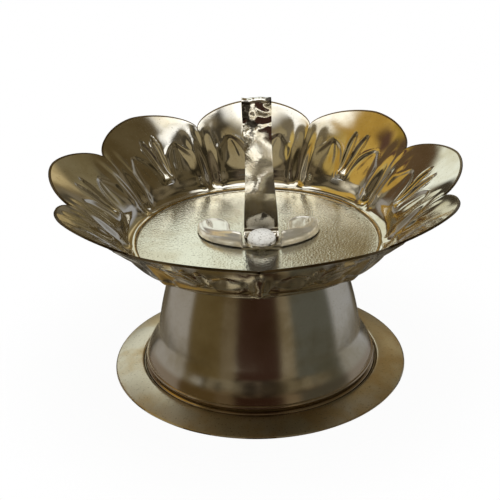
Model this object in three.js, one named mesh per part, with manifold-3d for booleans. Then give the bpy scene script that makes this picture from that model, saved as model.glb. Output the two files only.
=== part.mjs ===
// Pedestal diya lamp: a nine-petal pressed bowl on a spun pedestal and a pressed saucer base.
// Millimetres, +Z up. The origin is the centre of the base plate's underside, on the table.
import * as THREE from 'three';
import { mergeVertices } from 'three/addons/utils/BufferGeometryUtils.js';
import Module from 'manifold-3d';

const wasm = await Module();
wasm.setup();

// Fits shared by all pieces
const SEAT_GAP = 0.3; // clearance between two pieces that lie on each other
const HOLE_GAP = 0.3; // radial clearance of a hole round the rivet's shank
const OVERRUN = 1; // how far a cutter reaches past what it cuts
const ROUND_STEPS = 48; // facets round the spun pieces
const BOWL_STEPS = 54; // facets round the bowl's floor and shoulder, a multiple of its petals

// Base plate: pressed saucer with a domed flange and a flat recess
const BASE_RADIUS = 36;
const BASE_SHEET = 0.6;
const BASE_EDGE_DROOP = 0.35; // height of the flange's top over its outer edge
const BASE_RIDGE_HEIGHT = 2.5;
const BASE_RIDGE_ROUND = 0.45; // radius of the ridge's inner corner
const GROOVE_WIDTH = 0.95; // between the pedestal's foot bead and the recess wall
const SOLDER_CROWN = 0.55; // height of the solder run in the groove

// Pedestal: spun cup standing upside down
const PEDESTAL_SHEET = 0.8;
const FOOT_RADIUS = 27.9; // of the upright wall below the lip
const FOOT_BEAD = 0.45; // how far the foot's bottom bead stands out
const FOOT_BEAD_HEIGHT = 0.8;
const LIP_HEIGHT = 4.1; // over the table
const LIP_BULGE = 0.4; // how far the lip stands out from the foot wall
const LIP_ROUND = 0.45;
const BODY_FOOT_RADIUS = 25.6;
const BODY_FOOT_HEIGHT = 7.1;
const BODY_TOP_RADIUS = 19.7;
const BODY_BULGE = 0.75; // outward bow of the tapering wall
const BODY_TOP_ROUND = 1.4;

// Solder fillet between the pedestal's neck and the bowl
const FILLET_DROP = 5.4; // height of the fillet
const FILLET_REACH = 2.4; // how far it runs out along the bowl
const FILLET_EDGE = 0.35; // thickness of the fillet's lower edge
const FILLET_CLEARANCE = 0.45; // between the fillet's lower edge and the neck's straight taper

// Petal bowl: one pressed sheet
const FLOOR_HEIGHT = 33.1; // top of the bowl's floor over the table
const BOWL_SHEET = 0.6;
const FLOOR_RADIUS = 28;
const FLOOR_FILLET = 0.8; // between the floor and the wall
const BEAD_RADIUS = 29.3;
const BEAD_HEIGHT = 1.6; // over the floor
const BEAD_ROUND = 0.5;
const BAND_RADIUS = 33.2; // outer edge of the plain band, where the petals spring
const BAND_RISE = 3.9; // over the floor
const BAND_DIP = 0.35; // hollow of the band between bead and petals
const PETALS = 9;
const PETAL_TIP_RADIUS = 49.5;
const PETAL_TIP_RISE = 17.4; // over the floor
const PETAL_NOTCH_RADIUS = 43.1;
const PETAL_NOTCH_RISE = 13.3;
const PETAL_FLARE = 0.55; // how far a petal's middle bows above a straight slope
const PETAL_EMBOSS = 0.55; // height of the pressed palmette's leaves over the petal
const PETAL_KNUCKLE = 0.5; // height of the peak at the palmette's root
const PETAL_START = 90; // degrees: one petal points to the back
const RIM_FULLNESS = 1.61; // exponents of the petal's outline, 2 and 2 would be an ellipse
const RIM_ROUNDNESS = 1.53;

// The palmette across half a petal: three hollow leaves with ridges between them. Its columns from
// the petal's middle to the notch, the height on each, and how far each reaches from the
// shoulder (0) to the rim (1); the rows are shares of the same way
const columnShares = [0, 0.1, 0.2, 0.29, 0.37, 0.45, 0.54, 0.65, 0.8, 0.93];
const leafShares = [0.9, -0.3, -0.95, 0.1, 0.9, -0.1, -0.8, 0.65, -0.55, 0];
const leafEndShares = [0.66, 0.56, 0.55, 0.56, 0.6, 0.5, 0.5, 0.5, 0.4, 0.4];
const rowShares = [0, 0.09, 0.22, 0.38, 0.53, 0.68, 0.84, 1];
const leafStartShares = [0.03, 0.24]; // rows between which a leaf rises to its full height
const leafRunOutShare = 0.14; // rows over which a leaf's end runs out
const leafRimShares = [0.6, 0.09]; // height and width of the rim that closes a hollow leaf
const gatherShare = 0.82; // how far the leaves draw together at their root
const knuckleRowShare = 0.08;
const knuckleWidthShare = 0.12;

// Rivet that holds foot and strap; its hole was punched in front of the centre
const RIVET_X = 1;
const RIVET_Y = -3.4;
const DOME_RADIUS = 3.6;
const DOME_HEIGHT = 2.3;
const DOME_STEPS = 7;
const RIVET_STEPS = 32;
const SHANK_RADIUS = 1.5;
const TAIL_RADIUS = 2.4;
const TAIL_HEIGHT = 0.9;
const WASHER_RADIUS = 3.4;
const WASHER_SHEET = 0.7;

// Scroll foot: a lug with two die-struck arms that widen to dished round lobes
const LUG_SHEET = 0.6;
const LUG_FRONT = 2.2; // from the rivet's axis forwards
const LUG_BACK = 3.2;
const LUG_LAP = 0.5; // how far the lug runs in under an arm's root
const ARM_ROOT_HEIGHT = 3.2;
const ARM_ROOT_HALF = 2.2; // half the arm's width at its root
const ROOT_BACK = 0.4; // from the rivet's axis backwards to the middle of an arm's root
const LOBE_HEIGHT = 2;
const LOBE_RADIUS = 4;
const LOBE_SPREAD = 10.3; // from the rivet to the right lobe's centre, sideways
const LOBE_BACK = 9.6; // from the rivet to a lobe's centre, backwards
const LEFT_STRETCH = 1.2; // how much further out the left lobe lies, as struck by hand
const ARM_ELBOW_BACK = 2.8; // from the rivet back to where the arm's two directions cross
const ARM_EDGE_ROUND = 1.1; // width of the arm's rounded edge
const LOBE_DISH = 0.55; // depth of a lobe's hollow under its rim
const ARM_STEPS = 14;
const CAP_STEPS = 6;
const rootTurnShare = 0.3; // of an arm, over which its sections turn from the tab's side to the arm's
const wideningShares = [0.1, 0.9]; // of an arm, between which it widens

// Places across half an arm: on its rounded edge, as shares of the edge's width, then inside it, as
// shares of what is left, and the same places across a lobe's round end, as shares of its half chord
const armEdgeShares = [0, 0.12, 0.45, 1];
const armInsideShares = [0.55, 0];
const lobeEndShares = [1, 0.985, 0.93, 0.8, 0.45, 0];

// Wick strap
const STRAP_SHEET = 0.7;
const STRAP_TOP = 68.1; // over the table
const STRAP_BACK = 4.3; // from the rivet's axis to the post's middle plane
const STRAP_FOOT_WIDTH = 8.2;
const STRAP_NECK_WIDTH = 6.4;
const STRAP_NECK_DROP = 14; // from the strap's top down to its narrowest place
const STRAP_HEAD_WIDTH = 6.9;
const STRAP_BEND = 1.5;
const HOOK_DEPTH = 2.8; // of the head's ledge, front to back
const HOOK_DROP = 7.8; // of the folded end, below the top
const HOOK_BEND = 0.75;
const STRAP_SPAN = 2.2; // length of strip between two sections of a straight run
const HOLE_STEPS = 24;

// Heights that the stack of sheets gives
const underFloor = FLOOR_HEIGHT - BOWL_SHEET;
const pedestalTop = underFloor - SEAT_GAP;
const recessTop = BASE_SHEET;
const lugTop = FLOOR_HEIGHT + SEAT_GAP + LUG_SHEET;
const tabTop = lugTop + SEAT_GAP + STRAP_SHEET;
const domeSeat = tabTop + SEAT_GAP;
const washerTop = pedestalTop - PEDESTAL_SHEET - SEAT_GAP;
const tailTop = washerTop - WASHER_SHEET - SEAT_GAP;
const petalAngle = 2 * Math.PI / PETALS;
const firstPetal = PETAL_START * Math.PI / 180;
const firstNotch = firstPetal + petalAngle / 2;
const tabHalf = STRAP_FOOT_WIDTH / 2;

const mix = (a, b, share) => a + (b - a) * share;
const polar = (radius, angle) => [radius * Math.cos(angle), radius * Math.sin(angle)];

function finish(color, roughness, metalness) {
  return new THREE.MeshStandardMaterial({ color, roughness, metalness });
}
const brightPlate = finish('#cfc9b4', 0.14, 1);
const satinPlate = finish('#bdb7a4', 0.24, 1);
const greySolder = finish('#a9a7a0', 0.42, 1);

// Points of an arc about (x, y), with both ends
function arc(x, y, radius, fromDegrees, toDegrees, steps) {
  const points = [];
  for (let i = 0; i <= steps; i += 1) {
    const angle = mix(fromDegrees, toDegrees, i / steps) * Math.PI / 180;
    const [dx, dy] = polar(radius, angle);
    points.push([x + dx, y + dy]);
  }
  return points;
}

// Six times the signed volume of an indexed mesh, positive when its faces point outwards
function signedVolume(positions, index) {
  const a = new THREE.Vector3();
  const b = new THREE.Vector3();
  const c = new THREE.Vector3();
  let sum = 0;
  for (let i = 0; i < index.length; i += 3) {
    a.fromArray(positions, index[i] * 3);
    b.fromArray(positions, index[i + 1] * 3);
    c.fromArray(positions, index[i + 2] * 3);
    sum += a.dot(b.cross(c));
  }
  return sum;
}

// One closed geometry from points and triangles, with its faces turned outwards
function closedGeometry(positions, index) {
  const faces = index.slice();
  if (signedVolume(positions, faces) < 0) {
    for (let i = 0; i < faces.length; i += 3) {
      [faces[i + 1], faces[i + 2]] = [faces[i + 2], faces[i + 1]];
    }
  }
  const geometry = new THREE.BufferGeometry();
  geometry.setAttribute('position', new THREE.Float32BufferAttribute(positions, 3));
  geometry.setIndex(faces);
  return geometry;
}

// Turned piece: the outline is a list of [radius, height] that ends on the axis or meets itself
function turned(outline, steps = ROUND_STEPS) {
  const points = outline.map(([radius, height]) => new THREE.Vector2(radius, height));
  const lathe = new THREE.LatheGeometry(points, steps);
  lathe.rotateX(Math.PI / 2);
  lathe.deleteAttribute('normal');
  lathe.deleteAttribute('uv');
  const merged = mergeVertices(lathe, 1e-4);
  const index = [];
  const raw = merged.index.array;
  for (let i = 0; i < raw.length; i += 3) {
    const corners = new Set([raw[i], raw[i + 1], raw[i + 2]]);
    if (corners.size === 3) index.push(raw[i], raw[i + 1], raw[i + 2]);
  }
  return closedGeometry(Array.from(merged.attributes.position.array), index);
}

// Solid between cross-sections of equal point counts, with a flat cap at each end
function lofted(sections) {
  const count = sections[0].length;
  const positions = sections.flat(2);
  const index = [];
  for (let s = 0; s + 1 < sections.length; s += 1) {
    for (let i = 0; i < count; i += 1) {
      const j = (i + 1) % count;
      const [a, b] = [s * count + i, s * count + j];
      index.push(a, b, b + count, a, b + count, a + count);
    }
  }
  const last = (sections.length - 1) * count;
  for (let i = 1; i + 1 < count; i += 1) {
    index.push(0, i + 1, i, last, last + i, last + i + 1);
  }
  return closedGeometry(positions, index);
}

function solidOf(geometry) {
  const bare = geometry.clone();
  bare.deleteAttribute('normal');
  bare.deleteAttribute('uv');
  const merged = mergeVertices(bare, 1e-5);
  const mesh = new wasm.Mesh({
    numProp: 3,
    vertProperties: merged.attributes.position.array,
    triVerts: new Uint32Array(merged.index.array),
  });
  return new wasm.Manifold(mesh);
}

function geometryOf(solid) {
  const mesh = solid.getMesh();
  const geometry = new THREE.BufferGeometry();
  geometry.setAttribute('position', new THREE.BufferAttribute(mesh.vertProperties.slice(), 3));
  geometry.setIndex(new THREE.BufferAttribute(mesh.triVerts.slice(), 1));
  return geometry;
}

// Upright cutter for the rivet's hole through the sheets between two heights
function rivetHole(fromHeight, toHeight) {
  const length = toHeight - fromHeight + 2 * OVERRUN;
  const radius = SHANK_RADIUS + HOLE_GAP;
  const drill = new THREE.CylinderGeometry(radius, radius, length, HOLE_STEPS);
  drill.rotateX(Math.PI / 2);
  drill.translate(RIVET_X, RIVET_Y, (fromHeight + toHeight) / 2);
  return solidOf(drill);
}

function basePlate() {
  const recessWall = FOOT_RADIUS + FOOT_BEAD + GROOVE_WIDTH;
  const ridge = recessWall + BASE_RIDGE_ROUND;
  const domeShares = [0, 0.1, 0.25, 0.45, 0.7, 0.9, 1];
  const flangeTop = domeShares.map((share) => {
    const rise = Math.sqrt(1 - (1 - share) ** 1.8);
    return [mix(BASE_RADIUS, ridge, share), mix(BASE_EDGE_DROOP, BASE_RIDGE_HEIGHT, rise)];
  });
  const cornerHeight = BASE_RIDGE_HEIGHT - BASE_RIDGE_ROUND;
  const corner = arc(ridge, cornerHeight, BASE_RIDGE_ROUND, 90, 180, 3).slice(1);
  const top = [...flangeTop, ...corner, [recessWall, recessTop + BASE_RIDGE_ROUND],
    [recessWall - BASE_RIDGE_ROUND, recessTop], [0, recessTop]];
  // the sheet's hollow underside follows the flange inwards to the recess wall
  const innerFoot = recessWall + BASE_SHEET;
  const under = flangeTop.slice(1, -1).map(([radius, height]) => [
    Math.max(radius, innerFoot + BASE_RIDGE_ROUND), Math.max(height - BASE_SHEET, 0)]);
  const outline = [[0, 0], [innerFoot - BASE_RIDGE_ROUND, 0], [innerFoot, BASE_RIDGE_ROUND],
    [innerFoot, cornerHeight - BASE_SHEET], ...under.reverse(), [BASE_RADIUS, 0], ...top];
  return turned(outline);
}

function baseSolderRing() {
  const inside = FOOT_RADIUS + FOOT_BEAD + SEAT_GAP;
  const outside = FOOT_RADIUS + FOOT_BEAD + GROOVE_WIDTH - SEAT_GAP;
  const floor = recessTop + SEAT_GAP;
  const sides = floor + SOLDER_CROWN * 0.6;
  return turned([[inside, floor], [outside, floor], [outside, sides],
    [(inside + outside) / 2, floor + SOLDER_CROWN], [inside, sides], [inside, floor]]);
}

// Outer line of the pedestal from its foot to its top, as [radius, height], in two parts
function pedestalOuter() {
  const foot = recessTop + SEAT_GAP;
  const beadTop = foot + FOOT_BEAD_HEIGHT;
  const lipCentre = LIP_HEIGHT - LIP_ROUND / 2;
  const beadRadius = FOOT_RADIUS + FOOT_BEAD;
  const rim = [[beadRadius, foot], [beadRadius, mix(foot, beadTop, 0.5)], [FOOT_RADIUS, beadTop],
    [FOOT_RADIUS, lipCentre - LIP_ROUND / 2],
    ...arc(FOOT_RADIUS + LIP_BULGE - LIP_ROUND, lipCentre, LIP_ROUND, -10, 75, 3)];
  // concave sweep from the lip up to the tapering wall
  const [lipRadius, lipTop] = rim.at(-1);
  const body = [0.35, 0.7].map((share) => [
    mix(BODY_FOOT_RADIUS, lipRadius, (1 - share) ** 2), mix(lipTop, BODY_FOOT_HEIGHT, share)]);
  const shoulder = pedestalTop - BODY_TOP_ROUND;
  for (const share of [0, 0.17, 0.34, 0.51, 0.68, 0.84, 1]) {
    const bow = BODY_BULGE * 4 * share * (1 - share);
    const radius = mix(BODY_FOOT_RADIUS, BODY_TOP_RADIUS, share) + bow;
    body.push([radius, mix(BODY_FOOT_HEIGHT, shoulder, share)]);
  }
  body.push(...arc(BODY_TOP_RADIUS - BODY_TOP_ROUND, shoulder, BODY_TOP_ROUND, 30, 90, 2));
  return { rim, body };
}

function pedestal() {
  const { rim, body } = pedestalOuter();
  const underTop = pedestalTop - PEDESTAL_SHEET;
  const [, foot] = rim[0];
  const inside = FOOT_RADIUS - PEDESTAL_SHEET;
  const bare = body.map(([radius, height]) => [radius - PEDESTAL_SHEET, Math.min(height, underTop)]);
  const inner = [[inside, foot], [inside, LIP_HEIGHT - PEDESTAL_SHEET], ...bare].slice(0, -1);
  const shell = turned([[0, underTop], ...inner.reverse(), ...rim, ...body, [0, pedestalTop]]);
  return geometryOf(solidOf(shell).subtract(rivetHole(underTop, pedestalTop)));
}

function bowlSolderRing() {
  const shoulder = pedestalTop - BODY_TOP_ROUND;
  const inside = BODY_TOP_RADIUS + SEAT_GAP;
  const ceiling = underFloor - SEAT_GAP;
  const slope = (BODY_FOOT_RADIUS - BODY_TOP_RADIUS) / (shoulder - BODY_FOOT_HEIGHT);
  const lowest = ceiling - FILLET_DROP;
  const lowInside = inside + (shoulder - lowest) * slope + FILLET_CLEARANCE;
  const hollow = [0, 0.2, 0.45, 0.7, 1].map((share) => {
    const [across, up] = polar(1, share * Math.PI / 2);
    return [lowInside + FILLET_EDGE + FILLET_REACH * (1 - across), lowest + FILLET_DROP * up];
  });
  return turned([[lowInside, lowest], ...hollow, [inside, ceiling], [inside, shoulder],
    [lowInside, lowest]]);
}

// Rim of a petal at u from -1 (notch) over 0 (tip) to 1 (notch), as [radius, rise over the floor]
function petalRim(u) {
  const swell = Math.max(0, 1 - Math.abs(u) ** RIM_FULLNESS) ** (1 / RIM_ROUNDNESS);
  return [mix(PETAL_NOTCH_RADIUS, PETAL_TIP_RADIUS, swell),
    mix(PETAL_NOTCH_RISE, PETAL_TIP_RISE, swell)];
}

// Height of the palmette at a column and at row v of a petal, as a share
function palmette(column, v) {
  const height = leafShares[column];
  const end = leafEndShares[column];
  const start = THREE.MathUtils.smoothstep(v, ...leafStartShares);
  const leaf = height * start * (1 - THREE.MathUtils.smoothstep(v, end, end + leafRunOutShare));
  const [rimHeight, rimWidth] = leafRimShares;
  const rim = rimHeight * Math.exp(-(((v - end - leafRunOutShare) / rimWidth) ** 2));
  return leaf + Math.max(0, -height) * rim;
}

// Point of a petal at a column on one side and at row v, as [angle from its middle, radius, rise]
function petalPoint(column, side, v) {
  const share = columnShares[column] * side;
  const gather = gatherShare * (1 - THREE.MathUtils.smoothstep(v, 0, leafEndShares[0] * 1.3));
  const u = share * (1 - gather * (1 - share * share));
  const [rimRadius, rimRise] = petalRim(u);
  const [run, climb] = [rimRadius - BAND_RADIUS, rimRise - BAND_RISE];
  const slope = Math.hypot(run, climb);
  const nearRoot = ((v - knuckleRowShare) / knuckleRowShare) ** 2 + (u / knuckleWidthShare) ** 2;
  const lift = PETAL_FLARE * 4 * v * (1 - v) + PETAL_KNUCKLE * Math.exp(-nearRoot)
    + PETAL_EMBOSS * palmette(column, v);
  return [u * petalAngle / 2, mix(BAND_RADIUS, rimRadius, v) - lift * climb / slope,
    mix(BAND_RISE, rimRise, v) + lift * run / slope];
}

// One ring of the petal zone: all columns of all petals at row v, shifted by a sheet offset
function petalRing(v, outShift, upShift) {
  const ring = [];
  const last = columnShares.length - 1;
  for (let petal = 0; petal < PETALS; petal += 1) {
    const centre = firstPetal + petal * petalAngle;
    const push = ([angle, radius, rise]) => {
      const [x, y] = polar(radius + outShift, centre + angle);
      ring.push([x, y, FLOOR_HEIGHT + rise + upShift]);
    };
    for (let column = last; column > 0; column -= 1) push(petalPoint(column, -1, v));
    for (let column = 0; column <= last; column += 1) push(petalPoint(column, 1, v));
    const notchRadius = mix(BAND_RADIUS, PETAL_NOTCH_RADIUS, v);
    push([petalAngle / 2, notchRadius, mix(BAND_RISE, PETAL_NOTCH_RISE, v)]);
  }
  return ring;
}

function plainRing(radius, rise) {
  const ring = [];
  for (let i = 0; i < BOWL_STEPS; i += 1) {
    const [x, y] = polar(radius, firstNotch + 2 * Math.PI * i / BOWL_STEPS);
    ring.push([x, y, FLOOR_HEIGHT + rise]);
  }
  return ring;
}

// Triangles between two rings of different counts, matched by their angle from the first notch
function stitch(lower, upper, index) {
  const sorted = (ring) => ring.points
    .map(([x, y], i) => {
      const turn = Math.atan2(y, x) - firstNotch + 1e-6;
      return { id: ring.first + i, angle: THREE.MathUtils.euclideanModulo(turn, 2 * Math.PI) };
    })
    .sort((a, b) => a.angle - b.angle);
  const [p, q] = [sorted(lower), sorted(upper)];
  const angleAfter = (list, k) => (k + 1 < list.length ? list[k + 1].angle
    : list[0].angle + 2 * Math.PI);
  let [i, j] = [0, 0];
  while (i < p.length || j < q.length) {
    const here = [p[i % p.length].id, q[j % q.length].id];
    if (j >= q.length || (i < p.length && angleAfter(p, i) <= angleAfter(q, j))) {
      i += 1;
      index.push(here[0], p[i % p.length].id, here[1]);
    } else {
      j += 1;
      index.push(here[0], q[j % q.length].id, here[1]);
    }
  }
}

// Quads between two rings of equal counts
function bridge(a, b, index) {
  const count = a.points.length;
  for (let i = 0; i < count; i += 1) {
    const j = (i + 1) % count;
    index.push(a.first + i, a.first + j, b.first + i, a.first + j, b.first + j, b.first + i);
  }
}

// Fan from a ring to the axis
function closeCentre(ring, height, positions, index, facingUp) {
  const centre = positions.length / 3;
  positions.push(0, 0, height);
  const count = ring.points.length;
  for (let i = 0; i < count; i += 1) {
    const [a, b] = [ring.first + i, ring.first + (i + 1) % count];
    if (facingUp) index.push(centre, b, a);
    else index.push(centre, a, b);
  }
}

// Lines of the floor, wall, bead and plain band on both sides of the sheet, as [radius, rise]
function bowlProfile() {
  const beadCentre = BEAD_HEIGHT - BEAD_ROUND;
  const band = [mix(BEAD_RADIUS, BAND_RADIUS, 0.45), mix(BEAD_HEIGHT, BAND_RISE, 0.45) - BAND_DIP];
  const top = [[FLOOR_RADIUS / 2, 0],
    ...arc(FLOOR_RADIUS, FLOOR_FILLET, FLOOR_FILLET, -90, -15, 3), [BEAD_RADIUS - BEAD_ROUND, beadCentre],
    ...arc(BEAD_RADIUS, beadCentre, BEAD_ROUND, 150, 60, 2), band];
  const under = [[FLOOR_RADIUS / 2, -BOWL_SHEET],
    ...arc(FLOOR_RADIUS, FLOOR_FILLET, FLOOR_FILLET + BOWL_SHEET, -90, -25, 3),
    [band[0] + BOWL_SHEET / 3, band[1] - BOWL_SHEET]];
  return { top, under };
}

function petalBowl() {
  const [run, climb] = [PETAL_TIP_RADIUS - BAND_RADIUS, PETAL_TIP_RISE - BAND_RISE];
  const outShift = BOWL_SHEET * climb / Math.hypot(run, climb);
  const downShift = -BOWL_SHEET * run / Math.hypot(run, climb);
  const { top, under } = bowlProfile();
  const rings = [];
  const positions = [];
  const addRing = (points) => {
    rings.push({ points, first: positions.length / 3 });
    for (const point of points) positions.push(...point);
  };
  for (const [radius, rise] of top) addRing(plainRing(radius, rise));
  for (const v of rowShares) addRing(petalRing(v, 0, 0));
  for (const v of rowShares.toReversed()) addRing(petalRing(v, outShift, downShift));
  for (const [radius, rise] of under.toReversed()) addRing(plainRing(radius, rise));
  const index = [];
  for (let i = 0; i + 1 < rings.length; i += 1) {
    const join = rings[i].points.length === rings[i + 1].points.length ? bridge : stitch;
    join(rings[i], rings[i + 1], index);
  }
  closeCentre(rings[0], FLOOR_HEIGHT, positions, index, true);
  closeCentre(rings.at(-1), underFloor, positions, index, false);
  const shell = solidOf(closedGeometry(positions, index));
  return geometryOf(shell.subtract(rivetHole(underFloor, FLOOR_HEIGHT)));
}

// Height of an arm's top at a distance inside its edge: rounded first, then hollowed
function armTop(inside, height, dish) {
  const rounding = Math.min(1, Math.max(0, inside) / ARM_EDGE_ROUND);
  const hollow = THREE.MathUtils.smoothstep(inside, ARM_EDGE_ROUND, 2 * ARM_EDGE_ROUND);
  return height * Math.sqrt(1 - (1 - rounding) ** 2) - dish * hollow;
}

// Sections of a scroll arm from its root beside the tab to the centre of its lobe and on round the
// lobe's end: each has its place, its direction and its half outline as [across, up]
function armSections(side) {
  const spread = LOBE_SPREAD + (side < 0 ? LEFT_STRETCH : 0);
  const root = new THREE.Vector2(tabHalf + SEAT_GAP, ROOT_BACK);
  const elbow = new THREE.Vector2(spread, ARM_ELBOW_BACK);
  const lobe = new THREE.Vector2(spread, LOBE_BACK);
  const curve = new THREE.QuadraticBezierCurve(root, elbow, lobe);
  const sections = [];
  for (let i = 0; i <= ARM_STEPS; i += 1) {
    const share = i / ARM_STEPS;
    const wide = THREE.MathUtils.smoothstep(share, ...wideningShares);
    const half = mix(ARM_ROOT_HALF, LOBE_RADIUS, wide);
    const height = mix(ARM_ROOT_HEIGHT, LOBE_HEIGHT, wide);
    const places = [...armEdgeShares.map((edge) => half - edge * ARM_EDGE_ROUND),
      ...armInsideShares.map((inner) => inner * (half - ARM_EDGE_ROUND))];
    const top = places.map((across) => [across, armTop(half - across, height, LOBE_DISH * wide)]);
    const along = new THREE.Vector2(1, 0).lerp(curve.getTangent(share), Math.min(1, share / rootTurnShare));
    sections.push({ place: curve.getPoint(share), along: along.normalize(), top });
  }
  const { place, along } = sections.at(-1);
  for (let i = 1; i <= CAP_STEPS; i += 1) {
    const [chord, out] = polar(LOBE_RADIUS, Math.PI / 2 * i / (CAP_STEPS + 0.5));
    const top = lobeEndShares.map((share) => {
      const inside = LOBE_RADIUS - Math.hypot(out, share * chord);
      return [share * chord, armTop(inside, LOBE_HEIGHT, LOBE_DISH)];
    });
    sections.push({ place: place.clone().addScaledVector(along, out), along, top });
  }
  return sections;
}

// Scroll arm: flat below, with a rounded edge and a hollow top that opens out in the lobe
function scrollArm(side) {
  const floor = FLOOR_HEIGHT + SEAT_GAP;
  const sections = armSections(side).map(({ place, along, top }) => {
    const mirrored = top.slice(0, -1).reverse().map(([across, up]) => [-across, up]);
    return [...top, ...mirrored].map(([across, up]) => {
      const [sideways, back] = [place.x + along.y * across, place.y - along.x * across];
      return [RIVET_X + side * sideways, RIVET_Y + back, floor + up];
    });
  });
  return solidOf(lofted(sections));
}

function scrollFoot() {
  const floor = FLOOR_HEIGHT + SEAT_GAP;
  const width = 2 * (tabHalf + SEAT_GAP + LUG_LAP);
  const lug = new THREE.BoxGeometry(width, LUG_FRONT + LUG_BACK, LUG_SHEET);
  lug.translate(RIVET_X, RIVET_Y + (LUG_BACK - LUG_FRONT) / 2, floor + LUG_SHEET / 2);
  const whole = solidOf(lug).add(scrollArm(1)).add(scrollArm(-1));
  return geometryOf(whole.subtract(rivetHole(floor, lugTop)));
}

// Side line of the wick strap from the tab's front end to the folded end, as { y, z, heading }
function strapLine() {
  const tabMiddle = tabTop - STRAP_SHEET / 2;
  const post = RIVET_Y + STRAP_BACK;
  const front = RIVET_Y - tabHalf;
  const top = STRAP_TOP - STRAP_SHEET / 2;
  const line = [];
  const add = (y, z, heading) => line.push({ y, z, heading });
  for (const share of [0.02, 0.08, 0.2, 0.45, 0.8]) add(front + tabHalf * share, tabMiddle, 0);
  add(RIVET_Y + tabHalf * 0.4, tabMiddle, 0);
  const low = tabMiddle + STRAP_BEND;
  const high = top - HOOK_BEND;
  arc(post - STRAP_BEND, low, STRAP_BEND, -90, 0, 4).forEach(([y, z], i) => add(y, z, Math.PI / 8 * i));
  const runs = Math.round((high - low) / STRAP_SPAN);
  for (let i = 1; i < runs; i += 1) add(post, mix(low, high, i / runs), Math.PI / 2);
  // the head turns back over the post and down again
  const back = post + HOOK_DEPTH - STRAP_SHEET;
  const bend = (y, from, to) => arc(y, high, HOOK_BEND, from, to, 3)
    .forEach(([py, pz], i) => add(py, pz, mix(from, to, i / 3) * Math.PI / 180 - Math.PI / 2));
  bend(post + HOOK_BEND, 180, 90);
  bend(back - HOOK_BEND, 90, 0);
  const end = STRAP_TOP - HOOK_DROP;
  for (const share of [0.3, 0.65, 1]) add(back, mix(high, end, share), -Math.PI / 2);
  return line;
}

// Half the strap's width at a point of its side line
function strapHalfWidth({ y, z }) {
  const fromTop = STRAP_TOP - z;
  const tabEnd = RIVET_Y - tabHalf;
  if (y < RIVET_Y) return Math.sqrt(Math.max(0, tabHalf ** 2 - (tabHalf - (y - tabEnd)) ** 2));
  if (fromTop < STRAP_NECK_DROP) {
    const share = THREE.MathUtils.smoothstep(fromTop, 0, STRAP_NECK_DROP);
    return mix(STRAP_HEAD_WIDTH, STRAP_NECK_WIDTH, share) / 2;
  }
  const share = THREE.MathUtils.smoothstep(fromTop, STRAP_NECK_DROP, STRAP_TOP - tabTop);
  return mix(STRAP_NECK_WIDTH, STRAP_FOOT_WIDTH, share) / 2;
}

function wickStrap() {
  const half = STRAP_SHEET / 2;
  const edge = STRAP_SHEET / 4; // rounding of the strip's sheared edges
  const sections = strapLine().map((point) => {
    const width = strapHalfWidth(point);
    const [ny, nz] = [-Math.sin(point.heading), Math.cos(point.heading)];
    const at = (across, out) => [RIVET_X + across, point.y + ny * out, point.z + nz * out];
    const flat = Math.max(width - edge, width / 2);
    return [at(-flat, -half), at(flat, -half), at(width, -half + edge), at(width, half - edge),
      at(flat, half), at(-flat, half), at(-width, half - edge), at(-width, -half + edge)];
  });
  const strip = solidOf(lofted(sections));
  return geometryOf(strip.subtract(rivetHole(lugTop, tabTop)));
}

function domeRivet() {
  const crown = [];
  for (let i = 0; i < DOME_STEPS; i += 1) {
    const [across, up] = polar(1, Math.PI / 2 * (1 - i / DOME_STEPS));
    crown.push([i === 0 ? 0 : DOME_RADIUS * across, domeSeat + DOME_HEIGHT * up]);
  }
  const tailFoot = tailTop - TAIL_HEIGHT;
  return turned([...crown, [DOME_RADIUS, domeSeat], [SHANK_RADIUS, domeSeat], [SHANK_RADIUS, tailTop],
    [TAIL_RADIUS, tailTop], [TAIL_RADIUS, mix(tailTop, tailFoot, 0.5)],
    [mix(SHANK_RADIUS, TAIL_RADIUS, 0.3), tailFoot], [0, tailFoot]], RIVET_STEPS);
}

function rivetWasher() {
  const hole = SHANK_RADIUS + HOLE_GAP;
  const foot = washerTop - WASHER_SHEET;
  return turned([[hole, foot], [WASHER_RADIUS, foot], [WASHER_RADIUS, washerTop],
    [hole, washerTop], [hole, foot]], HOLE_STEPS);
}

const lamp = new THREE.Group();

function addPiece(name, geometry, material, x = 0, y = 0) {
  const mesh = new THREE.Mesh(geometry, material);
  mesh.name = name;
  mesh.position.set(x, y, 0);
  lamp.add(mesh);
}

addPiece('base_plate', basePlate(), satinPlate);
addPiece('base_solder_ring', baseSolderRing(), greySolder);
addPiece('pedestal', pedestal(), brightPlate);
addPiece('bowl_solder_ring', bowlSolderRing(), greySolder);
addPiece('petal_bowl', petalBowl(), brightPlate);
addPiece('scroll_foot', scrollFoot(), brightPlate);
addPiece('wick_strap', wickStrap(), brightPlate);
addPiece('dome_rivet', domeRivet(), brightPlate, RIVET_X, RIVET_Y);
addPiece('rivet_washer', rivetWasher(), satinPlate, RIVET_X, RIVET_Y);

export default lamp;
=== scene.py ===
import logging
import math
from dataclasses import dataclass
from enum import Enum
from typing import Any, Callable, Iterable, Optional, Sequence

import bpy
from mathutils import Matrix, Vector, noise


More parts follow.
